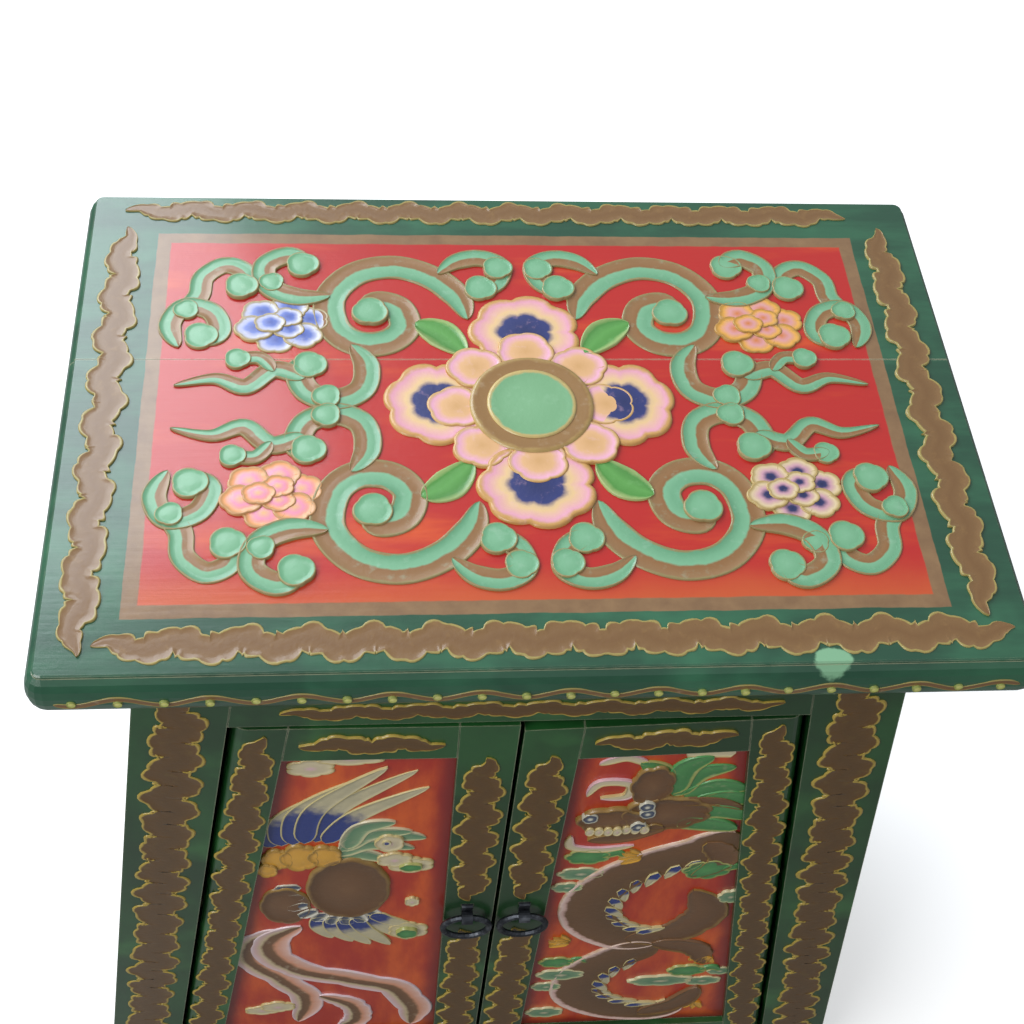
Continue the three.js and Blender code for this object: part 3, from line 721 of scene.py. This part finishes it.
PANEL_STOPS = {
    "cream": [(0.0, "c9b47a"), (0.1, "cdbb88"), (0.2, "d9cba4"), (0.7, "cfc0a0"), (1.0, "e0b8c0")],
    "ribbon": [(0.0, "e4d0d4"), (0.12, "dcb8b4"), (0.25, "cdb890"), (0.34, "6e4c30"), (0.56, "7c5636"),
               (0.66, "dc9a78"), (0.88, "e6b8a8"), (1.0, "e8d4dc")],
    "striped": [(0.0, "c8c4b0"), (0.1, "b8b6a4"), (0.25, "303c5c"), (0.6, "5c6470"), (0.8, "d0ccb8"),
                (1.0, "e4e0d8")],
    "brown": [(0.0, "9a7a3c"), (0.05, "8a6a38"), (0.12, "664526"), (0.8, "765232"), (1.0, "7c5836")],
    "belly": [(0.0, "8a6a38"), (0.06, "6a4a2a"), (0.2, "644628"), (0.84, "735030"), (0.89, "e0b8ac"),
              (0.95, "ecd0c4"), (1.0, "c8a888")],
    "gold": [(0.0, "a8843c"), (0.3, "d8a03c"), (1.0, "e0a83c")],
    "pale_green": [(0.0, "cfc79a"), (0.1, "b9b98c"), (0.2, "7f9f78"), (0.7, "5f8866"), (1.0, "d4c8a4")],
    "green": [(0.0, "a8a860"), (0.08, "96a05a"), (0.16, "3f7f46"), (1.0, "569a58")],
}
PANEL_MOTTLE = {"ribbon": "e8dcc0", "brown": "8c6a40", "belly": "8c6a40", "gold": "f0c468"}


def panel_paints():
    """The paints of the phoenix and the dragon, by kind."""
    paints = {"feather": feather_paint()}
    for kind, stops in PANEL_STOPS.items():
        mottle = PANEL_MOTTLE.get(kind, PALE_MOTTLE)
        paints[kind] = ornament(f"{kind}_paint", stops, mottle=mottle)
    return paints


# Feathers are a root, a bend and a tip; x, z on the panel.
WING = [((-164, 536), (-168, 560), (-146, 594)), ((-158, 538), (-156, 576), (-124, 616)),
        ((-150, 540), (-144, 588), (-104, 634)), ((-142, 542), (-132, 594), (-84, 652)),
        ((-134, 542), (-118, 592), (-64, 646)), ((-127, 540), (-106, 580), (-56, 622))]
FAN = [((-134, 408), (-136, 390), (-126, 366)), ((-126, 406), (-124, 384), (-110, 358)),
       ((-117, 405), (-112, 380), (-96, 352)), ((-108, 406), (-100, 382), (-80, 350)),
       ((-100, 408), (-90, 390), (-66, 358)), ((-94, 412), (-82, 398), (-58, 380))]
CREST = [((-122, 508), (-104, 520), (-80, 506)), ((-120, 520), (-96, 536), (-64, 528)),
         ((-116, 528), (-96, 552), (-66, 556)), ((-112, 532), (-102, 562), (-78, 572)),
         ((-96, 534), (-78, 548), (-56, 544))]
MANE = [((122, 596), (142, 612), (164, 606)), ((130, 588), (152, 596), (172, 586)),
        ((128, 572), (152, 574), (174, 562)), ((122, 560), (146, 554), (168, 546)),
        ((114, 600), (126, 630), (150, 640)), ((100, 604), (100, 634), (84, 650)),
        ((112, 604), (116, 640), (132, 656))]
# The tail's ribbons: course, width, tapers
TAIL = [
    ([(-160, 384), (-186, 362), (-192, 322), (-170, 280), (-150, 230), (-160, 176)], 30, (0.2, 0.2)),
    ([(-150, 392), (-176, 356), (-160, 306), (-116, 276), (-76, 250), (-58, 200), (-60, 160)], 34,
     (0.2, 0.2)),
    ([(-140, 240), (-112, 214), (-108, 178), (-124, 156)], 26, (0.3, 0.3)),
]
# Middle and half sizes
SHOULDER = [(-162, 516, 12, 17), (-146, 518, 15, 22), (-128, 520, 13, 17), (-170, 500, 8, 11)]
PHOENIX_CLOUDS = [(-134, 652, 17, 12), (-108, 664, 24, 8), (-66, 500, 18, 13), (-78, 510, 14, 12),
                  (-66, 376, 17, 17), (-190, 208, 16, 10), (-176, 216, 16, 12), (-64, 434, 6, 8)]
FLAMES = [(64, 504, 18, 13), (158, 476, 20, 17), (60, 296, 16, 11), (176, 268, 18, 12)]
DRAGON_CLOUDS = [(62, 474, 19, 11), (54, 450, 13, 9), (66, 268, 22, 12), (156, 246, 30, 12),
                 (194, 240, 18, 10), (56, 240, 14, 10), (60, 176, 18, 12), (186, 424, 11, 12),
                 (206, 262, 12, 8)]
SPINE = [(168, 540), (150, 512), (118, 492), (88, 460), (74, 420), (80, 378), (108, 346), (144, 338)]
COIL = [(140, 330), (106, 300), (84, 262), (86, 214), (116, 180), (160, 164), (186, 176)]
HAUNCHES = [
    ([(112, 344), (152, 352), (172, 394), (154, 438)], 42),
    ([(150, 524), (168, 494), (148, 462)], 26),
    ([(136, 334), (174, 318), (188, 284)], 26),
    ([(146, 166), (180, 190), (192, 228)], 28),
]
# Brow, snout and crown: middle, half sizes, count and depth of the lobes, height
SKULL = [(112, 574, 34, 26, 9, 0.12, 2.8), (74, 566, 26, 19, 7, 0.14, 3.0),
         (96, 618, 16, 28, 7, 0.14, 2.4)]
JAW_AND_EAR = [
    ([(112, 556), (88, 540), (60, 536)], 15, (0.1, 0.4)),
    ([(120, 592), (146, 590), (168, 578)], 12, (0.1, 0.6)),
]
DRAGON_EYES = [(58, 572), (98, 578), (94, 558), (96, 590)]
# Middle, and the direction of the first claw
CLAWS = [(104, 502, 2.2), (66, 340, 2.0), (188, 300, -2.6), (196, 190, -2.6)]
WHISKERS = [
    [(52, 604), (60, 622), (80, 620), (80, 602), (62, 600)],
    [(56, 648), (74, 656), (90, 646)],
    [(48, 540), (50, 522), (72, 516), (96, 522)],
]


def feathers(relief, rows, width, taper=(0.25, 0.45), lift=0.9):
    """One stroke for each feather."""
    for row in rows:
        relief.stroke(row, width, taper, lift)
    return relief


def build_phoenix(paint):
    """The phoenix of the left panel."""
    def part(name, kind):
        return Relief(f"phoenix_{name}", on_panel, paint[kind], "left_door")

    tail = part("tail_ribbons", "ribbon")
    for course, width, taper in TAIL:
        tail.stroke(course, width, taper, wave=ragged(7, 0.2))
    tail.build()
    part("hip", "brown").blob(lobed(-160, 432, 20, 34, 7, 0.08), lift=1.6).build()
    feathers(part("fan", "feather"), FAN, 15).build()
    neck = part("neck", "striped")
    for i in range(9):
        a = math.pi * (0.98 - 0.085 * i)
        x_share, z_share = math.cos(a), math.sin(a)
        u, v = -118 + 40 * x_share, 468 - 66 * z_share
        ends = [(u - 11 * x_share, v + 8 * z_share), (u + 9 * x_share, v - 9 * z_share)]
        neck.stroke(ends, 12, (0.3, 0.3), lift=1.0, steps=5)
    neck.build()
    part("body", "brown").blob(lobed(-112, 462, 32, 54, 11, 0.04), lift=2.6).build()
    feathers(part("wing", "feather"), WING, 17, (0.2, 0.6)).build()
    shoulder = part("shoulder", "gold")
    for u, v, ru, rv in SHOULDER:
        shoulder.blob(lobed(u, v, ru, rv, 5, 0.16), lift=2.0)
    shoulder.build()
    feathers(part("crest", "pale_green"), CREST, 17, (0.25, 0.5), 1.2).build()
    part("head", "cream").blob(lobed(-82, 540, 11, 14, 5, 0.12), lift=1.6, base=1.4).build()
    eye = lobed(-84, 542, 3.4, 4.4, 1, 0.0, count=16)
    part("eye", "feather").blob(eye, lift=0.8, base=2.9).build()
    clouds = part("clouds", "cream")
    for u, v, ru, rv in PHOENIX_CLOUDS:
        clouds.blob(lobed(u, v, ru, rv, 6, 0.18), lift=1.1)
    clouds.build()
    hearts = part("cloud_hearts", "green")
    hearts.blob(lobed(-67, 376, 9, 9, 5, 0.12, count=30), lift=0.8, base=3.0)
    hearts.blob(lobed(-66, 500, 9, 6, 5, 0.12, count=30), lift=0.8, base=2.6)
    hearts.build()


def build_dragon(paint):
    """The dragon of the right panel."""
    def part(name, kind):
        return Relief(f"dragon_{name}", on_panel, paint[kind], "right_door")

    for i, (line, taper) in enumerate(((COIL, (0.1, 0.35)), (SPINE, (0.12, 0.12)))):
        body = part(f"body_{i}", "belly")
        body.stroke(line[::-1], 46, taper[::-1], lift=1.8, steps=10).build()
    haunch = part("haunches", "brown")
    for course, width in HAUNCHES:
        haunch.stroke(course, width, (0.3, 0.5), lift=1.9, wave=ragged(9, 0.15))
    haunch.build()
    spikes = part("spikes", "feather")
    for line in (SPINE, COIL):
        curve = smooth(line, 4)
        for a, b in list(zip(curve, curve[2:]))[3::2]:
            size = math.dist(a, b)
            out = ((a[1] - b[1]) / size, (b[0] - a[0]) / size)
            root = (a[0] + out[0] * 15, a[1] + out[1] * 15)
            tip = (b[0] + out[0] * 28, b[1] + out[1] * 28)
            spikes.stroke([root, tip], 10, (0.2, 0.7), lift=1.6, steps=4)
    spikes.build()
    feathers(part("mane", "green"), MANE, 20, (0.2, 0.55), 1.4).build()
    head = part("head", "brown")
    for u, v, ru, rv, lobes, depth, lift in SKULL:
        head.blob(lobed(u, v, ru, rv, lobes, depth), lift)
    for course, width, taper in JAW_AND_EAR:
        head.stroke(course, width, taper, lift=2.4)
    head.build()
    eyes = part("eyes", "striped")
    for u, v in DRAGON_EYES:
        eyes.blob(lobed(u, v, 6, 7, 5, 0.1, count=20), lift=0.8, base=3.0)
    eyes.build()
    teeth = part("teeth", "cream")
    for i in range(7):
        teeth.blob(lobed(60 + 6.5 * i, 551 + i * 0.4, 3.6, 6, 1, 0.0, count=14), lift=0.9, base=3.0)
    for course in WHISKERS:
        teeth.stroke(course, 8, (0.3, 0.3), lift=1.4)
    teeth.build()
    bar = part("bar", "cream")
    bar.stroke([(112, 662), (146, 660)], 13, (0.08, 0.08), lift=1.2, steps=10).build()
    claws = part("claws", "gold")
    for u, v, start in CLAWS:
        for i in range(4):
            a = start + 0.5 * i
            ends = [(u, v), (u + 17 * math.cos(a), v + 17 * math.sin(a))]
            claws.stroke(ends, 7, (0.2, 0.7), lift=1.8, steps=4)
    claws.build()
    leaf = part("flames", "green")
    for u, v, ru, rv in FLAMES:
        leaf.blob(lobed(u, v, ru, rv, 7, 0.2), lift=1.4)
        course = [(u + ru * 0.6, v), (u + ru * 1.2, v + 5), (u + ru * 1.6, v - 2)]
        leaf.stroke(course, 9, (0.3, 0.7), lift=1.2)
    leaf.build()
    clouds = part("clouds", "pale_green")
    for u, v, ru, rv in DRAGON_CLOUDS:
        clouds.blob(lobed(u, v, ru, rv, 7, 0.2), lift=1.2)
    clouds.build()


# The carried-over CAD nodes

EDGE_ROUND = 0.0016
TOP_EDGE_ROUND = 0.0009
SHARP_ANGLE = 38


def longest_axis(node):
    low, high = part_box(node)
    spans = {axis: getattr(high, axis) - getattr(low, axis) for axis in "xyz"}
    return max(spans, key=spans.get)


def soften_edges(piece, width):
    bevel = piece.modifiers.new("soft_edges", "BEVEL")
    bevel.width = width
    bevel.segments = 2
    bevel.limit_method = "ANGLE"
    bevel.angle_limit = math.radians(SHARP_ANGLE)


def dress_nodes():
    """A finish for every carried-over node."""
    by_slot = {
        "green_paint": green_paint(),
        "red_paint": panel_paint(),
        "iron": iron(),
    }
    wood = {axis: bare_wood(axis) for axis in "xyz"}
    top = top_paint()
    for part in frame["record"]["subparts"]:
        node, slot = part["node"], part["material_slot"]
        piece = frame["nodes"][node]
        is_top = node.startswith("top_board")
        if slot == "bare_wood":
            material = wood[longest_axis(node)]
        else:
            material = top if is_top else by_slot[slot]
        piece.data.materials.clear()
        piece.data.materials.append(material)
        if slot == "iron":
            piece.data.shade_smooth()
        else:
            soften_edges(piece, TOP_EDGE_ROUND if is_top else EDGE_ROUND)


# Floor and light

def build_stage():
    """A pale floor that looks white to the camera and keeps the object's shadow."""
    nodes = Nodes("floor_white", 0.9)
    seen = nodes.add("ShaderNodeLightPath").outputs["Is Camera Ray"]
    pale = nodes.mix(nodes.noise(1.5, 2), srgb("f2f2f2"), srgb("f6f6f6"))
    white = nodes.finish(nodes.mix(seen, srgb("8a8a88"), pale))
    nodes.shader.inputs["Specular IOR Level"].default_value = 0.0
    nodes.plug(nodes.shader.inputs["Emission Color"], pale)
    nodes.plug(nodes.shader.inputs["Emission Strength"], nodes.math("MULTIPLY", seen, FLOOR_LIFT))
    reach = FLOOR_REACH
    corners = [(-reach, -reach, 0), (reach, -reach, 0), (reach, reach, 0), (-reach, reach, 0)]
    mesh = bpy.data.meshes.new("floor")
    mesh.from_pydata(corners, [], [(0, 1, 2, 3)])
    mesh.materials.append(white)
    floor = bpy.data.objects.new("floor", mesh)
    bpy.context.scene.collection.objects.link(floor)


def area_light(name, place, target, size, power, colour):
    data = bpy.data.lights.new(name, "AREA")
    data.shape = "SQUARE"
    data.size = size
    data.energy = power
    data.color = colour
    light = bpy.data.objects.new(name, data)
    bpy.context.scene.collection.objects.link(light)
    light.location = place
    light.rotation_euler = (Vector(target) - Vector(place)).to_track_quat("-Z", "Y").to_euler()


def build_light():
    """A plain room that the camera sees as white, and two soft lights."""
    world = bpy.data.worlds.new("studio")
    world.use_nodes = True
    tree = world.node_tree
    background = tree.nodes["Background"]
    background.inputs["Color"].default_value = (0.95, 0.97, 1.0, 1.0)
    seen = tree.nodes.new("ShaderNodeLightPath").outputs["Is Camera Ray"]
    level = tree.nodes.new("ShaderNodeMapRange")
    level.inputs["To Min"].default_value = ROOM_LIGHT
    level.inputs["To Max"].default_value = 1.0
    tree.links.new(seen, level.inputs["Value"])
    tree.links.new(level.outputs[0], background.inputs["Strength"])
    bpy.context.scene.world = world
    for light in LIGHTS:
        area_light(**light)
    bpy.context.scene.view_settings.view_transform = "Standard"


build_camera()
build_stage()
build_light()
dress_nodes()
build_top_ornament()
build_bands()
build_edge_line()
paints = panel_paints()
build_phoenix(paints)
build_dragon(paints)
